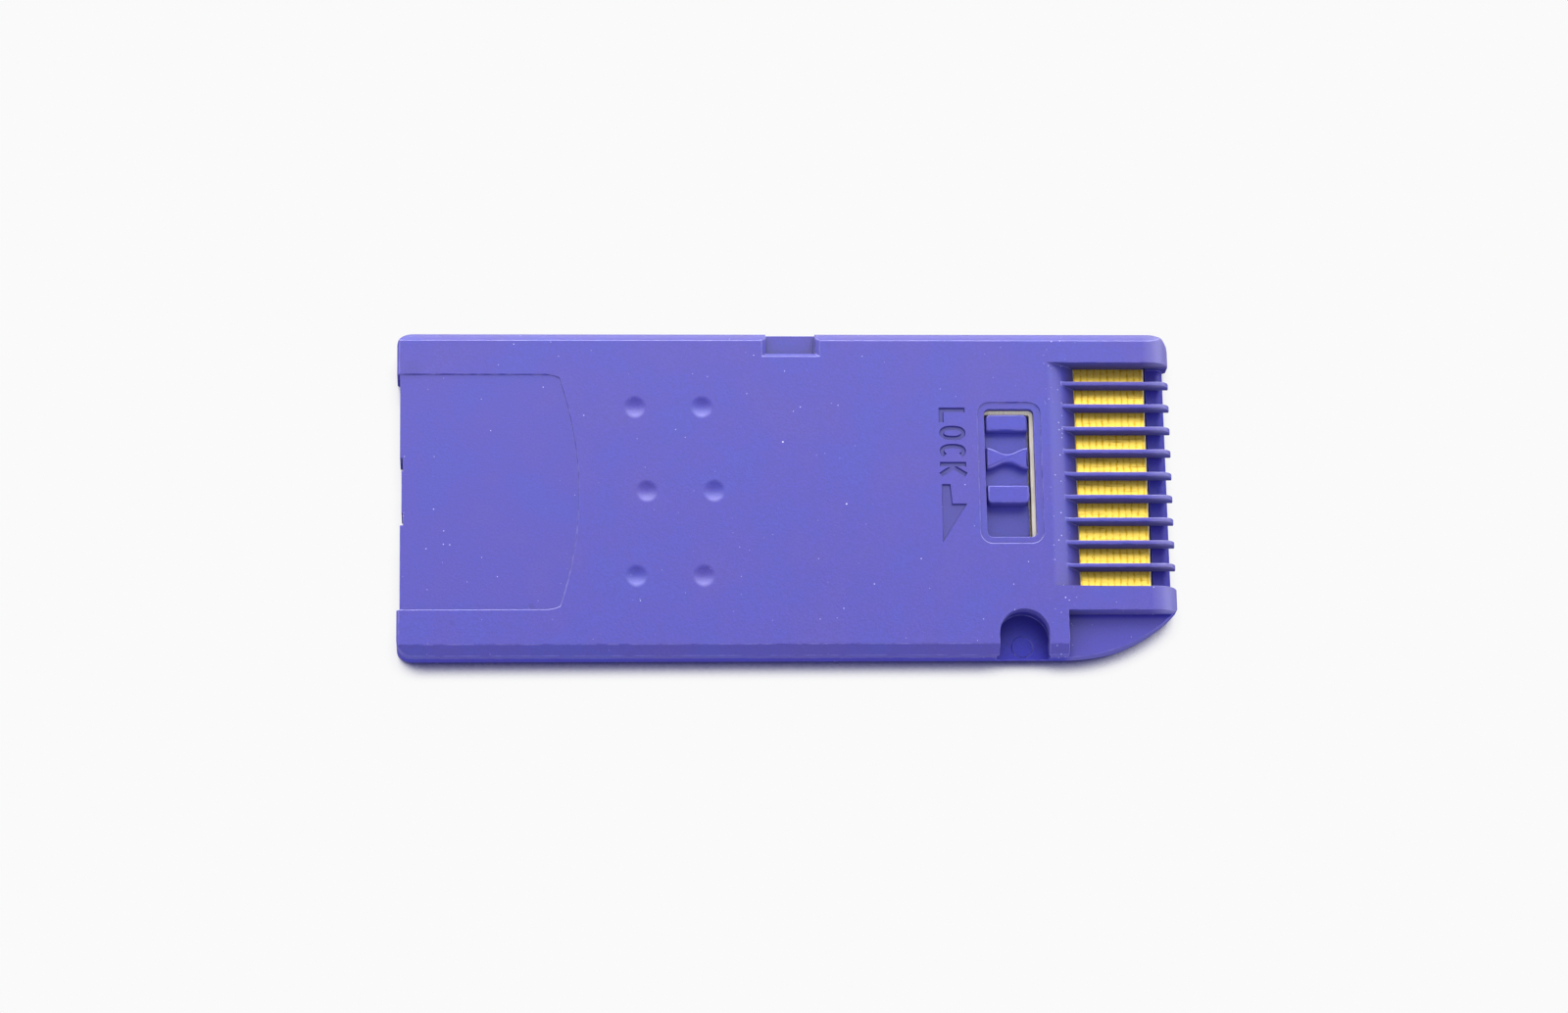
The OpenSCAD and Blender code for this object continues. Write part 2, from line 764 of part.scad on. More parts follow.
rear_shell();
front_shell();
circuit_board();
lock_slider();
lock_wiper();
slider_guide();
controller_chip();
crystal();
for (i = [1 : contacts]) contact_pad(i);
for (i = [1 : 2]) lock_pad(i);
for (i = [1 : 2]) memory_chip(i);
for (i = [1 : 4]) capacitor(i);
for (i = [1 : 4]) resistor(i);
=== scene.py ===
# %% [markdown]
# A slim memory card lies on a white table with its contacts up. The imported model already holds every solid
# at its real size. This lesson gives each surface its finish, rounds the edges that a mould would round,
# sinks the lettering into the shell, and sets the table, the lamps and the camera.

import math

import bmesh
import bpy
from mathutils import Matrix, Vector


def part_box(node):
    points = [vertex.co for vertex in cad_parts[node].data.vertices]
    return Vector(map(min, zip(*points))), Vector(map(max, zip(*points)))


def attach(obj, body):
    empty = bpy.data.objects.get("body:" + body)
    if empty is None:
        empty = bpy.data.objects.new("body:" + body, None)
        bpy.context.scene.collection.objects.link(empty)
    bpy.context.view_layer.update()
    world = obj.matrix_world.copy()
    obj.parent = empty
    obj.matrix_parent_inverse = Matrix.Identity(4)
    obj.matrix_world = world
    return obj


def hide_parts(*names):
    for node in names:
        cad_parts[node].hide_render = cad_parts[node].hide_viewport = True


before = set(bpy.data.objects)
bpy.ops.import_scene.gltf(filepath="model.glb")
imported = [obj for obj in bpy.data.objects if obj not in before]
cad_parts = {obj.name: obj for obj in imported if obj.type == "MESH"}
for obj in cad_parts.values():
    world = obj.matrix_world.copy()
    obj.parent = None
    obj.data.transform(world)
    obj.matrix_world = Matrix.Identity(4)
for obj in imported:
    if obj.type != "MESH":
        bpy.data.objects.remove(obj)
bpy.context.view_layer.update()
mm = 0.001

# %% [markdown]
# A few places are read from the solids themselves, so that what is added here follows them: the face of
# the card and the row of contacts.

# %% Read the places of the main pieces
face_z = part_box("rear_shell")[1][2]
contact_nodes = sorted(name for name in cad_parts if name.startswith("contact_pad_"))
print("face at", round(face_z / mm, 2), "mm,", len(contact_nodes), "contacts")

# %% [markdown]
# Colours are picked as the eye reads them from a screen, in hex. Shaders work with linear light, so one
# function turns every hex value into linear numbers. A second small function adds a node, sets it and wires
# it, which keeps each material short enough to read as a recipe.

# %% Helpers for materials


def linear(hex_colour):
    """Linear red, green, blue and alpha of an sRGB colour such as 6F69CC."""
    parts = [int(hex_colour[i:i + 2], 16) / 255 for i in (0, 2, 4)]
    return [c / 12.92 if c <= 0.04045 else ((c + 0.055) / 1.055) ** 2.4 for c in parts] + [1]


def add_node(tree, kind, inputs=None, **settings):
    """Adds a shader node. Inputs that are sockets are wired, and other inputs are set."""
    node = tree.nodes.new("ShaderNode" + kind)
    for name, value in settings.items():
        setattr(node, name, value)
    for name, value in (inputs or {}).items():
        if isinstance(value, bpy.types.NodeSocket):
            tree.links.new(value, node.inputs[name])
        else:
            node.inputs[name].default_value = value
    return node


def new_material(name, **surface):
    """A material with one Principled shader, whose fixed inputs are set by name."""
    material = bpy.data.materials.new(name)
    material.use_nodes = True
    shader = material.node_tree.nodes["Principled BSDF"]
    for socket, value in surface.items():
        shader.inputs[socket.replace("_", " ")].default_value = value
    return material, material.node_tree, shader


def ramp(tree, value, stops):
    """A colour ramp from a list of (place, hex colour) stops."""
    node = add_node(tree, "ValToRGB", {"Fac": value})
    band = node.color_ramp
    while len(band.elements) < len(stops):
        band.elements.new(1)
    for element, (place, colour) in zip(band.elements, stops):
        element.position = place
        element.color = linear(colour)
    return node.outputs["Color"]


def per_mm(size):
    """Texture scale for a pattern whose repeat is size millimetres."""
    return 1 / (size * mm)


print("violet in linear light:", [round(c, 3) for c in linear("3832B6")[:3]])

# %% [markdown]
# The two shells are moulded from violet ABS. The pigment is deep and strong, and what makes the card look
# soft and pale is the white tent mirrored in a surface that spark erosion of the mould left finely matt. So
# the base colour is deep, and the shine over it is broad. The flow of the plastic leaves faint changes
# between a bluer and a redder violet. Nooks and the floors of the lettering get painted shade: their base
# colour is darker where an Ambient Occlusion node finds them hidden, and on the lettering floors. Handling
# rubs the edges paler in patches and leaves a few dark smudges. The far edge and the nose get a painted
# highlight, a paler colour where the light from the far side and the right falls, and the corner shelf is
# made paler. Walls that were dragged out of the mould are rougher. Dust settles as fine specks, mostly in
# streaks. The front shell gets a smoother and deeper finish of its own, and the slider a cleaner one. Grain
# could be an image, but noise on Object coordinates needs no unwrapping and runs across every face alike.

# %% Moulded violet ABS


def share_of(tree, value, low, high, least=0.0, most=1.0):
    """Spreads a value between low and high over the range from least to most, and stops there."""
    node = add_node(tree, "MapRange", {
        "Value": value, "From Min": low, "From Max": high, "To Min": least, "To Max": most})
    return node.outputs["Result"]


def times(tree, first, second):
    """Product of two values."""
    return add_node(tree, "Math", {0: first, 1: second}, operation="MULTIPLY").outputs[0]


def blend(tree, share, below, above):
    """Colour above over colour below, by a share."""
    return add_node(tree, "MixRGB", {"Fac": share, "Color1": below, "Color2": above}).outputs["Color"]


def specks(tree, place, spacing, size, chosen):
    """Share of dust: round specks of a size in millimetres, in a chosen share of cells that far apart."""
    cells = add_node(tree, "TexVoronoi", {"Vector": place, "Scale": per_mm(spacing), "Randomness": 1.0})
    radius = size / spacing / 2
    dot = share_of(tree, cells.outputs["Distance"], radius, radius * 0.5)
    pick = add_node(tree, "SeparateColor", {"Color": cells.outputs["Color"]})
    kept = add_node(tree, "Math", {0: pick.outputs["Red"], 1: 1 - chosen}, operation="GREATER_THAN")
    return times(tree, dot, kept.outputs[0])


# Dark marks on the face: place along X and Y and size in millimetres, and strength
smudges = [
    (-16.4, -7.6, 0.3, 0.5),
    (-21.5, -8.7, 0.28, 0.35),
    (-24.0, 8.15, 0.9, 0.3),
    (8.3, -3.6, 0.2, 0.3),
]
# Painted highlights on the far edge and the nose, and a paler corner shelf: strength, and where each fades in
# along its axes in millimetres
pale_places = [
    (0.12, [("Y", 10.15, 10.6), ("Z", 1.9, 2.3)]),
    (0.16, [("X", 23.2, 24.2), ("Z", 1.7, 2.1)]),
    (0.1, [("X", 17.6, 18.2), ("Y", -8.0, -8.3), ("Z", 2.0, 1.8)]),
]
# The strip along X, in millimetres, where dust has drifted: where it starts, and where it ends
drift_start = (16.6, 17.5)
drift_end = (18.3, 17.7)


def drift(tree, place):
    """Share of dust drifted against the ramp: 1 along a line across the card, and 0 beyond a strip."""
    across = add_node(tree, "SeparateXYZ", {"Vector": place}).outputs["X"]
    rise = share_of(tree, across, drift_start[0] * mm, drift_start[1] * mm)
    return times(tree, rise, share_of(tree, across, drift_end[0] * mm, drift_end[1] * mm))


def shaded(tree, colour, factor):
    """Colour made darker or lighter by a factor."""
    node = add_node(tree, "MixRGB", {"Fac": 1.0, "Color1": colour, "Color2": factor}, blend_type="MULTIPLY")
    return node.outputs["Color"]


def flowed(tree, place, grain, base, blue, red):
    """The plastic's own tone, with flow marks between a bluer and a redder violet, and with its grain."""
    flow = add_node(tree, "TexNoise", {"Vector": place, "Scale": per_mm(3.5), "Detail": 3, "Roughness": 0.55})
    colour = ramp(tree, flow.outputs["Fac"], [(0.35, blue), (0.5, base), (0.66, red)])
    return shaded(tree, colour, share_of(tree, grain, 0.3, 0.7, 0.88, 1.12))


def shade_and_smudges(tree, place, colour, nook_shade):
    """Painted shade: darker in nooks, found by an Ambient Occlusion node, and on the floors of the sunk
    lettering. Also the real dark smudges.
    """
    # Painted shade in nooks: the colour darkens where the surface is hidden within 2 mm.
    nook_occlusion = add_node(tree, "AmbientOcclusion", {"Distance": 2.0 * mm}, samples=3)
    colour = shaded(tree, colour, share_of(tree, nook_occlusion.outputs["AO"], 0.35, 0.8, nook_shade, 1.0))
    engraved = add_node(tree, "Attribute", attribute_name="engraved")
    # Painted shade on the floors of the sunk lettering.
    colour = blend(tree, times(tree, engraved.outputs["Fac"], 0.85), colour, linear("161080"))
    for x, y, size, strength in smudges:
        away = add_node(tree, "VectorMath", {0: place, 1: (x * mm, y * mm, face_z)}, operation="DISTANCE")
        share = share_of(tree, away.outputs["Value"], size * mm, 0.3 * size * mm, 0.0, strength)
        colour = blend(tree, share, colour, linear("16127A"))
    return colour


def worn_and_highlit(tree, place, colour):
    """Paler on rubbed edges in patches, which is wear, with painted highlights on the far edge and the nose,
    and a paler corner shelf.
    """
    rub = add_node(tree, "Attribute", attribute_name="rubbed")
    patches = add_node(tree, "TexNoise", {"Vector": place, "Scale": per_mm(0.7), "Detail": 3})
    share = times(tree, rub.outputs["Fac"], share_of(tree, patches.outputs["Fac"], 0.35, 0.7, 0.0, 0.3))
    colour = blend(tree, share, colour, linear("8F8AE0"))
    axes = add_node(tree, "SeparateXYZ", {"Vector": place}).outputs
    # Painted highlights where the far and right light falls on the far edge and the nose; the corner shelf is
    # only made paler.
    for strength, limits in pale_places:
        share = strength
        for axis, start, end in limits:
            share = times(tree, share, share_of(tree, axes[axis], start * mm, end * mm))
        colour = blend(tree, share, colour, linear("C4C0E8"))
    return colour


def dusted(tree, place, colour, dust):
    """Fine specks in streaks and along the ramp, and a few coarse ones."""
    streaks = add_node(tree, "TexNoise", {"Vector": place, "Scale": per_mm(9.0), "Detail": 2})
    streak_share = share_of(tree, streaks.outputs["Fac"], 0.5, 0.62, 0.25, 1.0)
    fine = times(tree, specks(tree, place, 0.5, 0.09, dust), streak_share)
    drifted = times(tree, specks(tree, place, 0.3, 0.11, 0.5), drift(tree, place))
    fine = add_node(tree, "Math", {0: fine, 1: drifted}, operation="MAXIMUM").outputs[0]
    colour = blend(tree, fine, colour, linear("B9B6E6"))
    return blend(tree, specks(tree, place, 1.9, 0.13, dust), colour, linear("E8E6F4"))


def dragged(tree, grain):
    """Roughness that follows the grain, up to twice as rough on walls that were dragged out of the mould."""
    matt = share_of(tree, grain, 0.3, 0.7, 0.39, 0.46)
    upright = add_node(tree, "SeparateXYZ", {"Vector": add_node(tree, "NewGeometry").outputs["True Normal"]})
    return times(tree, matt, share_of(tree, upright.outputs["Z"], 0.8, 0.3, 1.0, 2.0))


def moulded_abs(name, base, blue, red, grain_bump, dust, nook_shade, shine):
    """Moulded ABS: its own tone, then painted shade and smudges, wear and painted highlights, and the dust,
    under a matt grain.
    """
    material, tree, shader = new_material(
        name, IOR=1.54, Specular_IOR_Level=shine, Sheen_Weight=0.04, Sheen_Roughness=0.4)
    place = add_node(tree, "TexCoord").outputs["Object"]
    grain = add_node(tree, "TexNoise", {
        "Vector": place, "Scale": per_mm(0.15), "Detail": 2, "Roughness": 0.6}).outputs["Fac"]
    colour = flowed(tree, place, grain, base, blue, red)
    colour = shade_and_smudges(tree, place, colour, nook_shade)
    colour = worn_and_highlit(tree, place, colour)
    tree.links.new(dusted(tree, place, colour, dust), shader.inputs["Base Color"])
    tree.links.new(dragged(tree, grain), shader.inputs["Roughness"])
    bump = add_node(tree, "Bump", {"Height": grain, "Strength": grain_bump, "Distance": 0.01 * mm})
    tree.links.new(bump.outputs["Normal"], shader.inputs["Normal"])
    return material


shell_abs = moulded_abs("moulded_abs_shell", "332C9F", "2F2FA2", "382D9C", 0.5, 0.3, 0.5, 0.75)
front_abs = moulded_abs("moulded_abs_front", "2A23A8", "2727AA", "2E24A4", 0.3, 0.2, 0.5, 0.35)
slider_abs = moulded_abs("moulded_abs_slider", "302DA5", "2E2EA8", "342CA2", 0.3, 0.05, 1.0, 0.72)
print("plastics:", shell_abs.name, front_abs.name, slider_abs.name)

# %% [markdown]
# The contacts are copper pads on glass cloth laminate, plated with nickel and a thin layer of gold. The
# cloth prints through the thin metal, so the gold has soft ridges across it, a bit under half a millimetre
# apart. Slots have dragged their springs along the pads and left thin dull lines, and here and there a pit.
# Gold is a metal, so its colour is in its reflection.

# %% Gold plating over woven laminate
gold_plating, gold_tree, gold_shader = new_material("gold_plating", Metallic=1.0)
gold_place = add_node(gold_tree, "TexCoord").outputs["Object"]
weave_pitch = 0.43


def wave_scale(pitch):
    """Scale of a Wave texture whose bands are pitch millimetres apart. Its wave turns 20 times per unit."""
    return 2 * math.pi * per_mm(pitch) / 20


ridges = add_node(gold_tree, "TexWave", {
    "Vector": gold_place, "Scale": wave_scale(weave_pitch), "Distortion": 1.5,
    "Detail": 2.0, "Detail Scale": 1.5}, wave_type="BANDS", bands_direction="X")
threads = add_node(gold_tree, "TexNoise", {"Vector": gold_place, "Scale": per_mm(0.3), "Detail": 4})
ridge_height = add_node(gold_tree, "Math", {0: threads.outputs["Fac"], 1: 1.4, 2: ridges.outputs["Fac"]},
                        operation="MULTIPLY_ADD").outputs[0]
stretch = add_node(gold_tree, "Mapping", {"Vector": gold_place, "Scale": (0.07, 1.0, 1.0)})
drag = add_node(gold_tree, "TexNoise", {
    "Vector": stretch.outputs["Vector"], "Scale": per_mm(0.1), "Detail": 2})
drag_line = share_of(gold_tree, drag.outputs["Fac"], 0.62, 0.7, 0.0, 0.55)
pits = specks(gold_tree, gold_place, 0.9, 0.11, 0.25)
gold_tone = ramp(gold_tree, ridge_height, [(0.2, "AE8210"), (0.6, "D6AC2E"), (1.0, "F0D05E")])
gold_worn = blend(gold_tree, drag_line, gold_tone, linear("A97B2C"))
gold_pitted = blend(gold_tree, pits, gold_worn, linear("6E4A18"))
gold_tree.links.new(gold_pitted, gold_shader.inputs["Base Color"])
gold_tree.links.new(share_of(gold_tree, ridge_height, 0.3, 2.0, 0.46, 0.36), gold_shader.inputs["Roughness"])
gold_bump = add_node(gold_tree, "Bump", {"Height": ridge_height, "Strength": 0.4, "Distance": 0.012 * mm})
gold_tree.links.new(gold_bump.outputs["Normal"], gold_shader.inputs["Normal"])
print("weave ridges every", weave_pitch, "mm")

# %% [markdown]
# The board is bare glass epoxy laminate. Resin over pale glass cloth looks cream, with a faint crossed
# thread pattern and a satin surface.

# %% Glass epoxy laminate
laminate, laminate_tree, laminate_shader = new_material("glass_epoxy_laminate", IOR=1.55)
laminate_place = add_node(laminate_tree, "TexCoord").outputs["Object"]
warp = add_node(laminate_tree, "TexWave", {
    "Vector": laminate_place, "Scale": wave_scale(weave_pitch), "Distortion": 0.6},
    wave_type="BANDS", bands_direction="X")
weft = add_node(laminate_tree, "TexWave", {
    "Vector": laminate_place, "Scale": wave_scale(weave_pitch), "Distortion": 0.6},
    wave_type="BANDS", bands_direction="Y")
cloth = times(laminate_tree, warp.outputs["Fac"], weft.outputs["Fac"])
cream = ramp(laminate_tree, cloth, [(0.0, "CFC6B4"), (0.6, "D9D2C2"), (1.0, "E2DCCE")])
laminate_tree.links.new(cream, laminate_shader.inputs["Base Color"])
laminate_rough = share_of(laminate_tree, cloth, 0.0, 1.0, 0.5, 0.38)
laminate_tree.links.new(laminate_rough, laminate_shader.inputs["Roughness"])
print("laminate:", laminate.name)

# %% [markdown]
# The guide beside the lock slider is moulded from a cream engineering plastic that stands the heat of
# soldering. Fibres in it leave fine pale flow lines. Painted shade makes it brown low on its walls, and a
# brown painted shadow lies past its seam.

# %% Moulded cream guide plastic
guide_cream, cream_tree, cream_shader = new_material("moulded_cream_polymer", IOR=1.6)
cream_place = add_node(cream_tree, "TexCoord").outputs["Object"]
cream_long = add_node(cream_tree, "Mapping", {"Vector": cream_place, "Scale": (1.0, 0.12, 1.0)})
fibres = add_node(cream_tree, "TexNoise", {
    "Vector": cream_long.outputs["Vector"], "Scale": per_mm(0.08), "Detail": 3}).outputs["Fac"]
cream_tone = ramp(cream_tree, fibres, [(0.35, "E9DFC9"), (0.65, "F8F1E2")])
cream_axes = add_node(cream_tree, "SeparateXYZ", {"Vector": cream_place}).outputs
# Painted shade, brown, low on the walls, and a painted shadow past the seam.
low_shade = share_of(cream_tree, cream_axes["Z"], 2.1 * mm, 1.7 * mm, 0.0, 0.8)
seam_shadow = share_of(cream_tree, cream_axes["X"], 15.97 * mm, 16.03 * mm, 0.0, 0.9)
guide_shade = add_node(cream_tree, "Math", {0: low_shade, 1: seam_shadow}, operation="MAXIMUM").outputs[0]
cream_tree.links.new(blend(cream_tree, guide_shade, cream_tone, linear("6E4A2C")), cream_shader.inputs["Base Color"])
cream_rough = share_of(cream_tree, fibres, 0.3, 0.7, 0.45, 0.6)
cream_tree.links.new(cream_rough, cream_shader.inputs["Roughness"])
print("guide:", guide_cream.name)

# %% [markdown]
# The parts inside are hidden by the closed shells, but each still gets the finish that it has on a
# workbench. A chip is black epoxy with a fine moulded grain, and its leads are tin plated. One solid holds
# both, so its material tells them apart by place: beyond the ends of the body, everything is metal.

# %% Chip epoxy with tin plated leads


def two_tone(name, inner, outer, limits, centre, inner_rough, outer_rough, metal):
    """Inner colour within limits of centre along X and Y, and outer colour beyond them."""
    material, tree, shader = new_material(name)
    place = add_node(tree, "TexCoord").outputs["Object"]
    moved = add_node(tree, "Mapping", {"Vector": place, "Location": (-centre[0], -centre[1], 0.0)})
    axes = add_node(tree, "SeparateXYZ", {"Vector": moved.outputs["Vector"]})
    beyond = []
    for axis, limit in zip("XY", limits):
        side = add_node(tree, "Math", {0: axes.outputs[axis]}, operation="ABSOLUTE")
        beyond.append(add_node(tree, "Math", {0: side.outputs[0], 1: limit}, operation="GREATER_THAN"))
    share = add_node(tree, "Math", {0: beyond[0].outputs[0], 1: beyond[1].outputs[0]}, operation="MAXIMUM")
    grain = add_node(tree, "TexNoise", {"Vector": place, "Scale": per_mm(0.12), "Detail": 2})
    inner_tone = ramp(tree, grain.outputs["Fac"], [(0.3, inner[0]), (0.7, inner[1])])
    outer_tone = ramp(tree, grain.outputs["Fac"], [(0.3, outer[0]), (0.7, outer[1])])
    colour = add_node(tree, "MixRGB", {"Fac": share.outputs[0], "Color1": inner_tone, "Color2": outer_tone})
    tree.links.new(colour.outputs["Color"], shader.inputs["Base Color"])
    shine = add_node(tree, "MapRange", {
        "Value": share.outputs[0], "To Min": inner_rough, "To Max": outer_rough})
    tree.links.new(shine.outputs["Result"], shader.inputs["Roughness"])
    if metal:
        tree.links.new(share.outputs[0], shader.inputs["Metallic"])
    bump = add_node(tree, "Bump", {"Height": grain.outputs["Fac"], "Strength": 0.3, "Distance": 0.01 * mm})
    tree.links.new(bump.outputs["Normal"], shader.inputs["Normal"])
    return material


def dress(node_name, material):
    """Puts a material on a solid that keeps its own mesh."""
    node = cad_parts[node_name]
    for slot in node.material_slots:
        slot.material = material
    return node


def ends_bare(node_name, share_x, share_y):
    """Centre and limits of a solid whose outer shares along X and Y are its metal ends."""
    low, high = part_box(node_name)
    centre = [(low[i] + high[i]) / 2 for i in range(2)]
    half = [(high[i] - low[i]) / 2 for i in range(2)]
    return centre, (half[0] * share_x, half[1] * share_y)


for chip in ("memory_chip_1", "memory_chip_2"):
    chip_centre, chip_limits = ends_bare(chip, 1.1, 0.9)
    dress(chip, two_tone("epoxy_and_tin_" + chip, ("1C1C1E", "2A2A2D"), ("A9ABAD", "C6C8CA"),
                         chip_limits, chip_centre, 0.55, 0.3, True))
control_centre, control_limits = ends_bare("controller_chip", 0.985, 0.985)
dress("controller_chip", two_tone("epoxy_and_tin_controller", ("19191B", "272729"), ("A9ABAD", "C6C8CA"),
                                  control_limits, control_centre, 0.5, 0.3, True))
print("chips dressed")

# %% [markdown]
# Chip capacitors are fired tan ceramic and chip resistors are dark coated ceramic. Both have dull tin caps
# on their ends. The crystal sits in a pressed steel can, and the lock wiper is a strip of spring bronze.
# These metals get a fine directional grain in their roughness from how they were rolled.

# %% Small parts and stamped metal
for number in range(1, 5):
    for kind, tones in (("capacitor_", ("9A7049", "B08660")), ("resistor_", ("26282C", "34373C"))):
        part = kind + str(number)
        part_centre, part_limits = ends_bare(part, 0.6, 1.1)
        dress(part, two_tone("ceramic_" + part, tones, ("9DA0A3", "BDBFC2"),
                             part_limits, part_centre, 0.45, 0.35, True))


def rolled_metal(name, dark, light, roughness, stretch_scale):
    """Rolled or pressed metal, with fine lines along the direction of rolling."""
    material, tree, shader = new_material(name, Metallic=1.0)
    place = add_node(tree, "TexCoord").outputs["Object"]
    along = add_node(tree, "Mapping", {"Vector": place, "Scale": stretch_scale})
    lines = add_node(tree, "TexNoise", {"Vector": along.outputs["Vector"], "Scale": per_mm(0.1), "Detail": 3})
    tone = ramp(tree, lines.outputs["Fac"], [(0.3, dark), (0.7, light)])
    tree.links.new(tone, shader.inputs["Base Color"])
    shine = add_node(tree, "MapRange", {
        "Value": lines.outputs["Fac"], "To Min": roughness - 0.08, "To Max": roughness + 0.1})
    tree.links.new(shine.outputs["Result"], shader.inputs["Roughness"])
    return material


dress("crystal", rolled_metal("pressed_steel_can", "A6A8AA", "C2C4C6", 0.3, (1.0, 0.1, 1.0)))
dress("lock_wiper", rolled_metal("spring_bronze_strip", "A8763A", "C79A58", 0.28, (1.0, 0.08, 1.0)))
dress("circuit_board", laminate)
dress("slider_guide", guide_cream)
for name in ("lock_pad_1", "lock_pad_2"):
    dress(name, gold_plating)
print("inner parts dressed")

# %% [markdown]
# Moulded edges are never sharp, and their roundness catches the light in a fine bright line. The solids
# have sharp edges, so each visible solid is copied, its loose triangles are welded, and its sharp edges are
# bevelled by a few hundredths of a millimetre. The bevelled faces are marked as rubbed for the material.
# Smooth shading would smear light over the wide flat faces, so each flat region first notes its own normal,
# and the round faces are blended into it at the end. A flat region is wide, or it meets its neighbours only
# in sharp turns.

# %% Copy and weld a solid, and note its flat regions
weld_gap = 0.02 * mm
same_plane = math.radians(0.3)
gentle_turn = math.radians(25)
strip_width = 0.7 * mm


def region_from(seed, seen):
    """Faces in one plane with a seed face, and the turns at the region's border."""
    region, turns, waiting = [], [], [seed]
    seen.add(seed)
    while waiting:
        face = waiting.pop()
        region.append(face)
        for edge in face.edges:
            for other in edge.link_faces:
                turn = seed.normal.angle(other.normal, 0)
                if turn > same_plane:
                    turns.append((turn, edge.calc_length()))
                elif other not in seen:
                    seen.add(other)
                    waiting.append(other)
    return region, turns


def note_flats(shape):
    """Gives each face of a flat region that region's normal, and each facet of a round surface none."""
    plane = shape.faces.layers.float_vector.get("plane") or shape.faces.layers.float_vector.new("plane")
    made = shape.faces.layers.float.get("rubbed") or shape.faces.layers.float.new("rubbed")
    seen = set()
    for seed in sorted(shape.faces, key=lambda face: -face.calc_area()):
        if seed in seen or seed[plane].length > 0.5 or seed[made] > 0.5:
            continue
        region, turns = region_from(seed, seen)
        area = sum(face.calc_area() for face in region)
        around = sum(length for turn, length in turns)
        narrow = 2 * area < strip_width * around
        if not (narrow and any(turn < gentle_turn for turn, length in turns)):
            for face in region:
                face[plane] = seed.normal


def welded_copy(node_name):
    """A bmesh of a solid with its loose triangles welded and its flat regions noted."""
    shape = bmesh.new()
    shape.from_mesh(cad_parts[node_name].data)
    bmesh.ops.remove_doubles(shape, verts=shape.verts, dist=weld_gap)
    bmesh.ops.dissolve_limit(shape, angle_limit=same_plane / 3, verts=shape.verts, edges=shape.edges)
    note_flats(shape)
    return shape


print("helpers for copies ready")

# %% [markdown]
# An edge is sharp when its two faces turn by more than the steps of a round surface do. Only such edges are
# bevelled.

# %% Round the sharp edges of a shape
sharp_angle = math.radians(28)


def sharp_edges(shape, wanted=None):
    """Edges whose faces turn by more than the sharp angle, and that wanted accepts if it is given."""
    found = []
    for edge in shape.edges:
        if len(edge.link_faces) == 2 and edge.calc_face_angle(0) > sharp_angle:
            if wanted is None or wanted(edge):
                found.append(edge)
    return found


def round_edges(shape, edges, radius, segments):
    """Bevels edges, and marks the new faces as rubbed and round."""
    made = bmesh.ops.bevel(
        shape, geom=edges, offset=radius, offset_type="OFFSET", segments=segments, profile=0.5,
        affect="EDGES", clamp_overlap=False, loop_slide=False, material=-1)
    plane = shape.faces.layers.float_vector["plane"]
    rubbed = shape.faces.layers.float["rubbed"]
    for face in made["faces"]:
        face[rubbed] = 1.0
        face[plane] = (0, 0, 0)
    return len(edges)


print("rounding sharp turns over", round(math.degrees(sharp_angle)), "degrees")

# %% [markdown]
# A finished shape stays inside the box of the solid that it stands for, and gets its normals corner by
# corner. Then it rides on its body and takes the place of the solid.

# %% Finish a shape as a piece
soft_turn = math.radians(50)
flat_weight = 1.0


def corner_normals(shape):
    """One normal for each corner of each face, flat on flat regions and blended on round ones."""
    plane = shape.faces.layers.float_vector["plane"]
    facing = {}
    weight = {}
    for face in shape.faces:
        flat = face[plane].length > 0.5
        facing[face] = face[plane].copy() if flat else face.normal.copy()
        weight[face] = flat_weight if flat else face.calc_area()
    normals = []
    for face in shape.faces:
        flat = face[plane].length > 0.5
        for corner in face.loops:
            blended = facing[face].copy() if flat else facing[face] * weight[face]
            if not flat:
                for other in corner.vert.link_faces:
                    if other is not face and facing[face].angle(facing[other], 0) < soft_turn:
                        blended += facing[other] * weight[other]
            normals.append(blended.normalized())
    return normals


def finished(shape, name, material, body, replaced):
    """Turns a bmesh into a shaded piece that rides on a body and stands for solids."""
    low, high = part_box(replaced[0])
    for vert in shape.verts:
        vert.co = [min(max(vert.co[i], low[i]), high[i]) for i in range(3)]
    wide = [face for face in shape.faces if len(face.verts) > 4]
    bmesh.ops.triangulate(shape, faces=wide, quad_method="BEAUTY", ngon_method="BEAUTY")
    for face in shape.faces:
        face.smooth = True
    normals = corner_normals(shape)
    mesh = bpy.data.meshes.new(name)
    shape.to_mesh(mesh)
    shape.free()
    mesh.normals_split_custom_set(normals)
    piece = bpy.data.objects.new(name, mesh)
    bpy.context.scene.collection.objects.link(piece)
    mesh.materials.append(material)
    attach(piece, body)
    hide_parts(*replaced)
    return piece


print("finishing helper ready")

# %% [markdown]
# The lettering beside the lock window is plain: the word LOCK and a half arrow that shows which way to
# slide. It is sunk into the shell by the mould, so it is cut out of the shell here. Each letter is built
# from straight strokes and bent strokes of one width, as an engraver would do it. A text object would bring
# a font's own look.

# %% Strokes for the sunk lettering
stroke_w = 0.215 * mm
letter_h = 1.6 * mm
letter_w = 0.9 * mm
letter_pitch = 1.22 * mm
letters_x = 9.9 * mm
letters_y = 5.55 * mm
sunk = 0.14 * mm
flare = 0.05 * mm


def grown(points, distance):
    """An outline moved outwards by a distance, with sharp corners."""
    turn = sum(a[0] * b[1] - b[0] * a[1] for a, b in zip(points, points[1:] + points[:1]))
    side = math.copysign(distance, turn)
    moved = []
    for before, here, after in zip(points[-1:] + points[:-1], points, points[1:] + points[:1]):
        first = (Vector(here) - Vector(before)).normalized()
        second = (Vector(after) - Vector(here)).normalized()
        out = Vector((first.y + second.y, -first.x - second.x)).normalized()
        moved.append(Vector(here) + out * side / max(out.dot(Vector((first.y, -first.x))), 0.3))
    return moved


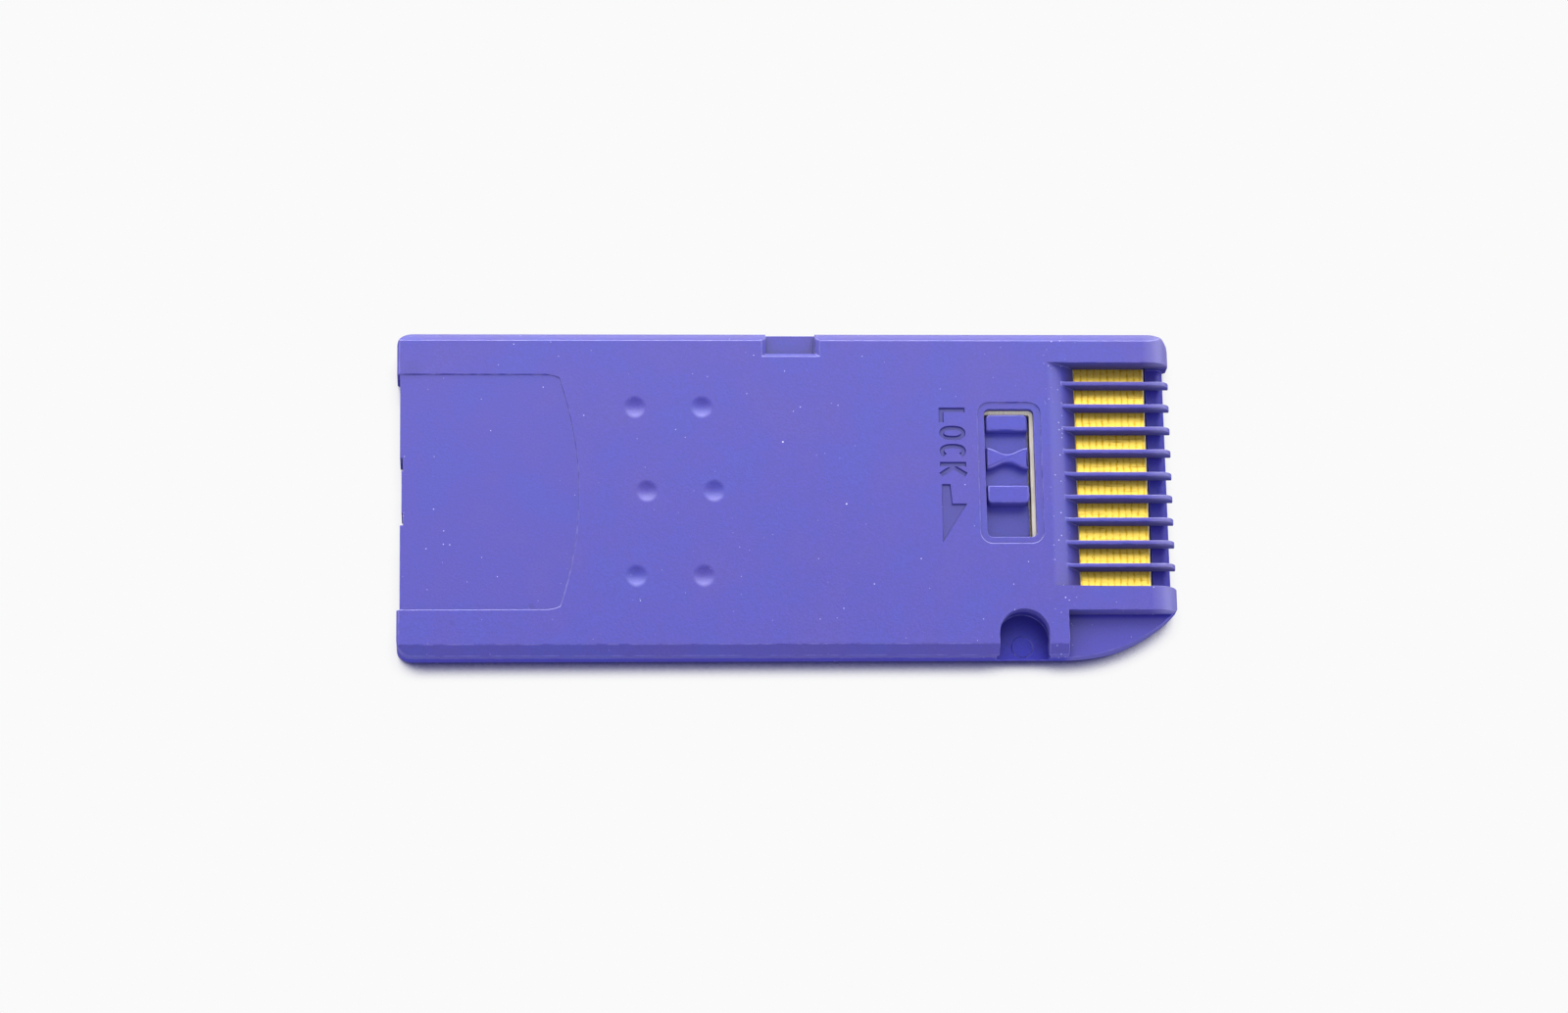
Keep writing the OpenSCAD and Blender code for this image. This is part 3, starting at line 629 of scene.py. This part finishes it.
def prism(points, name):
    """A cutter with that outline at the sunk depth, which flares out towards the face and above it."""
    shape = bmesh.new()
    ring = [shape.verts.new((x, y, face_z - sunk)) for x, y in points]
    floor_face = shape.faces.new(ring)
    risen = bmesh.ops.extrude_face_region(shape, geom=[floor_face])
    above = [vert for vert in risen["geom"] if isinstance(vert, bmesh.types.BMVert)]
    rises = sorted(above, key=lambda vert: min(
        range(len(points)), key=lambda i: (vert.co.xy - Vector(points[i])).length))
    for vert, place in zip(rises, grown(points, 2 * flare)):
        vert.co = (place.x, place.y, face_z + sunk)
    bmesh.ops.recalc_face_normals(shape, faces=shape.faces)
    mesh = bpy.data.meshes.new(name)
    shape.to_mesh(mesh)
    shape.free()
    cutter = bpy.data.objects.new(name, mesh)
    bpy.context.scene.collection.objects.link(cutter)
    return cutter


def on_card(number, across, up):
    """Place on the card of a point in a letter's own box, whose top points to the contact end."""
    return letters_x + up, letters_y - number * letter_pitch - across


def stroke(number, path, name):
    """A cutter for one stroke of a letter along a path of (across, up) points, with a constant width."""
    left, right = [], []
    for i, point in enumerate(path):
        before = Vector(path[max(i - 1, 0)])
        after = Vector(path[min(i + 1, len(path) - 1)])
        along = (after - before).normalized()
        side = Vector((-along.y, along.x)) * stroke_w / 2
        left.append(Vector(point) + side)
        right.append(Vector(point) - side)
    outline = [on_card(number, *point) for point in left + right[::-1]]
    return prism(outline, name)


def oval(start, end, steps):
    """Points on the middle line of a round letter, between two angles in degrees."""
    half_w = (letter_w - stroke_w) / 2
    half_h = (letter_h - stroke_w) / 2
    angles = [math.radians(start + (end - start) * i / steps) for i in range(steps + 1)]
    return [(letter_w / 2 + half_w * squircle(math.cos(a)), letter_h / 2 + half_h * squircle(math.sin(a)))
            for a in angles]


def squircle(value):
    """Pushes a circle a little towards a box, as technical lettering is drawn."""
    return math.copysign(abs(value) ** 0.85, value)


half_stroke = stroke_w / 2
stem = [(half_stroke, 0), (half_stroke, letter_h)]
strokes = [
    (0, stem), (0, [(0, half_stroke), (letter_w, half_stroke)]),
    (1, oval(0, 180, 16)), (1, oval(180, 360, 16)),
    (2, oval(48, 312, 24)),
    (3, stem), (3, [(half_stroke, 0.5 * mm), (letter_w - half_stroke, letter_h)]),
    (3, [(0.3 * mm, 0.78 * mm), (letter_w - half_stroke, 0)]),
]
cutters = [stroke(number, path, "stroke_%d" % i) for i, (number, path) in enumerate(strokes)]
# Corners of the half arrow in millimetres
arrow = [(9.98, 0.40), (10.44, 0.40), (10.55, -0.91), (11.46, -0.91), (9.95, -3.32)]
cutters.append(prism([(x * mm, y * mm) for x, y in arrow], "half_arrow"))
print("cutters:", len(cutters))

# %% [markdown]
# The rear shell is the main visible piece. Its edges are rounded finely first. Then the lettering is cut
# out of it with exact Boolean modifiers, which are applied at once so that the piece is a plain mesh. The
# other order would leave slivers beside the letters for the bevel to trip over.

# %% Rear shell


def cut_out(shape, tools):
    """Cuts tools out of a bmesh with exact Boolean modifiers, and returns a new bmesh."""
    mesh = bpy.data.meshes.new("uncut")
    shape.to_mesh(mesh)
    shape.free()
    blank = bpy.data.objects.new("uncut", mesh)
    bpy.context.scene.collection.objects.link(blank)
    for tool in tools:
        step = blank.modifiers.new(tool.name, "BOOLEAN")
        step.object = tool
        step.operation = "DIFFERENCE"
        step.solver = "EXACT"
    done = bmesh.new()
    done.from_object(blank, bpy.context.evaluated_depsgraph_get())
    for used in [blank, *tools]:
        bpy.data.objects.remove(used)
    return done


fine_radius = 0.045 * mm
letters_from = (9.2 * mm, -3.6 * mm)
letters_to = (12 * mm, 6 * mm)
rear = welded_copy("rear_shell")
count = round_edges(rear, sharp_edges(rear), fine_radius, 2)
rear = cut_out(rear, cutters)
note_flats(rear)
# The floors of the lettering are noted, so that the material paints shade on them.
engraved = rear.faces.layers.float.new("engraved")
for face in rear.faces:
    middle = face.calc_center_median()
    in_letters = all(letters_from[i] < middle[i] < letters_to[i] for i in range(2))
    face[engraved] = float(in_letters and face_z - 1.2 * sunk < middle.z < face_z - 0.02 * mm)
rear_piece = finished(rear, "rear_shell_moulded", shell_abs, "card", ["rear_shell"])
print("rear shell:", count, "edges rounded,", len(rear_piece.data.polygons), "faces")

# %% [markdown]
# The front shell is the lower half. It shows at the near wall, as the corner shelf and as the lip at the
# contacts.

# %% Front shell
front = welded_copy("front_shell")
count = round_edges(front, sharp_edges(front), fine_radius, 2)
front_piece = finished(front, "front_shell_moulded", front_abs, "card", ["front_shell"])
print("front shell:", count, "edges rounded,", len(front_piece.data.polygons), "faces")

# %% [markdown]
# The slider has soft, pillow-like bars for a fingernail. The edges round their tops get a larger radius
# than the shell's edges. Its other edges keep the solid's own shape.

# %% Lock slider
slider_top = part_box("lock_slider")[1][2]
pillow_radius = 0.12 * mm
on_top = 0.01 * mm
slider = welded_copy("lock_slider")
count = round_edges(slider, sharp_edges(slider, lambda edge: all(
    vert.co.z > slider_top - on_top for vert in edge.verts)), pillow_radius, 3)
slider_piece = finished(slider, "lock_slider_moulded", slider_abs, "lock", ["lock_slider"])
print("slider:", count, "edges rounded,", len(slider_piece.data.polygons), "faces")

# %% [markdown]
# The contacts are thin, so their edges are rounded by only a hundredth of a millimetre.

# %% Contacts
pad_radius = 0.01 * mm
for name in contact_nodes:
    pad = welded_copy(name)
    round_edges(pad, sharp_edges(pad), pad_radius, 2)
    finished(pad, name.replace("contact_pad", "plated_contact"), gold_plating, "card", [name])
print("contacts:", len(contact_nodes))

# %% [markdown]
# The table is a white matt sheet, lit so strongly in the picture that it is plain white almost up to the
# card, with only a narrow, bluish shadow along the near edge. More light would spoil the card, so the
# camera sees the sheet through an Emission shader instead. Its colour follows an Ambient Occlusion node,
# whose normal leans to the far side, where the light comes from. So it is dark where the card hides that
# side. All other rays meet a real matt white surface, so the card still gets its light from below.

# %% Table
table_half = 1.5
table_shape = bmesh.new()
bmesh.ops.create_grid(table_shape, x_segments=8, y_segments=8, size=table_half)
table_mesh = bpy.data.meshes.new("white_table")
table_shape.to_mesh(table_mesh)
table_shape.free()
table = bpy.data.objects.new("white_table", table_mesh)
bpy.context.scene.collection.objects.link(table)
white_card, white_tree, white_shader = new_material("matt_white_card", Roughness=0.9, IOR=1.4)
white_place = add_node(white_tree, "TexCoord").outputs["Object"]
fibre = add_node(white_tree, "TexNoise", {"Vector": white_place, "Scale": per_mm(3.0), "Detail": 2})
white_tree.links.new(ramp(white_tree, fibre.outputs["Fac"], [(0.3, "DEDEDE"), (0.7, "E4E4E4")]),
                     white_shader.inputs["Base Color"])
lean = math.radians(50)
leaning = add_node(white_tree, "CombineXYZ", {"Y": math.sin(lean), "Z": math.cos(lean)})
hidden = add_node(white_tree, "AmbientOcclusion", {
    "Distance": 1.6 * mm, "Normal": leaning.outputs["Vector"]}, samples=16)
shadow_tone = ramp(white_tree, hidden.outputs["AO"], [
    (0.26, "26265A"), (0.33, "55537E"), (0.4, "8482A4"), (0.47, "BDBDCC"), (0.55, "E4E3EB"), (0.63, "F2F2F5"),
    (0.8, "FAFAFA")])
seen_light = add_node(white_tree, "Emission", {"Color": shadow_tone})
path = add_node(white_tree, "LightPath")
seen = add_node(white_tree, "Math", {0: path.outputs["Is Camera Ray"], 1: path.outputs["Is Glossy Ray"]},
                operation="MAXIMUM")
seen = add_node(white_tree, "Math", {0: seen.outputs[0], 1: path.outputs["Is Transmission Ray"]},
                operation="MAXIMUM")
sheet = add_node(white_tree, "MixShader", {
    0: seen.outputs[0], 1: white_shader.outputs["BSDF"], 2: seen_light.outputs["Emission"]})
white_tree.links.new(sheet.outputs["Shader"], white_tree.nodes["Material Output"].inputs["Surface"])
table_mesh.materials.append(white_card)
print("table", 2 * table_half, "m wide")

# %% [markdown]
# The light is that of a white tent with a dark ceiling, where the camera looks in. A large soft box shines
# from the far side, and smaller ones from the right and the left. So edges that face away are pale, and
# what mirrors the ceiling is deep in colour. Only the shine of a surface sees the boxes in the world. Its
# matt part sees a plain world, which is brighter on the near side and so lifts the near walls. Wide suns
# give the light of the boxes on matt surfaces, with very soft shadows.

# %% Light
world = bpy.data.worlds.new("tent")
bpy.context.scene.world = world
world.use_nodes = True
sky_tree = world.node_tree
sky = sky_tree.nodes["Background"]
sky_place = add_node(sky_tree, "TexCoord").outputs["Generated"]
sky_axes = add_node(sky_tree, "SeparateXYZ", {"Vector": sky_place})
# Soft boxes of the tent: axis, where each starts and is full along it, and how bright it is
soft_boxes = [("Y", 0.25, 0.85, 9.5), ("X", 0.3, 0.8, 1.2), ("X", -0.3, -0.8, 1.4), ("Y", -0.35, -0.8, 0.3)]
ceiling_level = 0.3
near_level = 1.2
far_level = 0.54
seen_level = 0.956
mirrored = ceiling_level
for axis, start, end, gain in soft_boxes:
    box_light = share_of(sky_tree, sky_axes.outputs[axis], start, end, 0.0, gain)
    mirrored = add_node(sky_tree, "Math", {0: mirrored, 1: box_light}, operation="ADD").outputs[0]
sky_path = add_node(sky_tree, "LightPath")
sky_direct = add_node(sky_tree, "Math", {
    0: sky_path.outputs["Is Camera Ray"], 1: sky_path.outputs["Is Transmission Ray"]}, operation="MAXIMUM")
matt_level = share_of(sky_tree, sky_axes.outputs["Y"], -0.6, 0.6, near_level, far_level)
sky_level = add_node(sky_tree, "Mix", {
    "Factor": sky_path.outputs["Is Glossy Ray"], "A": matt_level, "B": mirrored})
sky_seen = add_node(sky_tree, "Mix", {
    "Factor": sky_direct.outputs[0], "A": sky_level.outputs[0], "B": seen_level})
sky_tree.links.new(sky_seen.outputs[0], sky.inputs["Strength"])
sky.inputs["Color"].default_value = (1, 1, 1, 1)


def wide_sun(name, azimuth, elevation, level, spread):
    """A sun as wide as spread degrees, which adds level to how bright a white table looks."""
    lamp = bpy.data.lights.new(name, "SUN")
    lamp.energy = level * math.pi / math.sin(math.radians(elevation))
    lamp.angle = math.radians(spread)
    holder = bpy.data.objects.new(name, lamp)
    bpy.context.scene.collection.objects.link(holder)
    a, e = math.radians(azimuth), math.radians(elevation)
    towards = Vector((math.sin(a) * math.cos(e), math.cos(a) * math.cos(e), math.sin(e)))
    holder.rotation_euler = towards.to_track_quat("Z", "Y").to_euler()
    return holder


wide_sun("far_key", 0, 45, 0.12, 40)
wide_sun("right_fill", 90, 45, 0.05, 70)
wide_sun("left_fill", -90, 45, 0.04, 70)
print("lamps:", [lamp.name for lamp in bpy.data.lights])

# %% [markdown]
# The camera stands 327 mm away and looks down on the card at about 74 degrees, through a long lens. Its
# place and turn were found by fitting the card's own edges.

# %% Camera
camera_data = bpy.data.cameras.new("camera")
camera_data.lens = 116.1
camera_data.sensor_width = 36
camera_data.clip_start = 10 * mm
camera = bpy.data.objects.new("camera", camera_data)
bpy.context.scene.collection.objects.link(camera)
camera.rotation_mode = "ZYX"
camera.rotation_euler = (0.285372, -0.0609981, -0.00090953)
camera.location = (-20.001 * mm, -92.055 * mm, 313.011 * mm)
bpy.context.scene.camera = camera
bpy.context.scene.view_settings.view_transform = "Standard"
print("camera", round(camera.location.length / mm), "mm from the middle of the card")
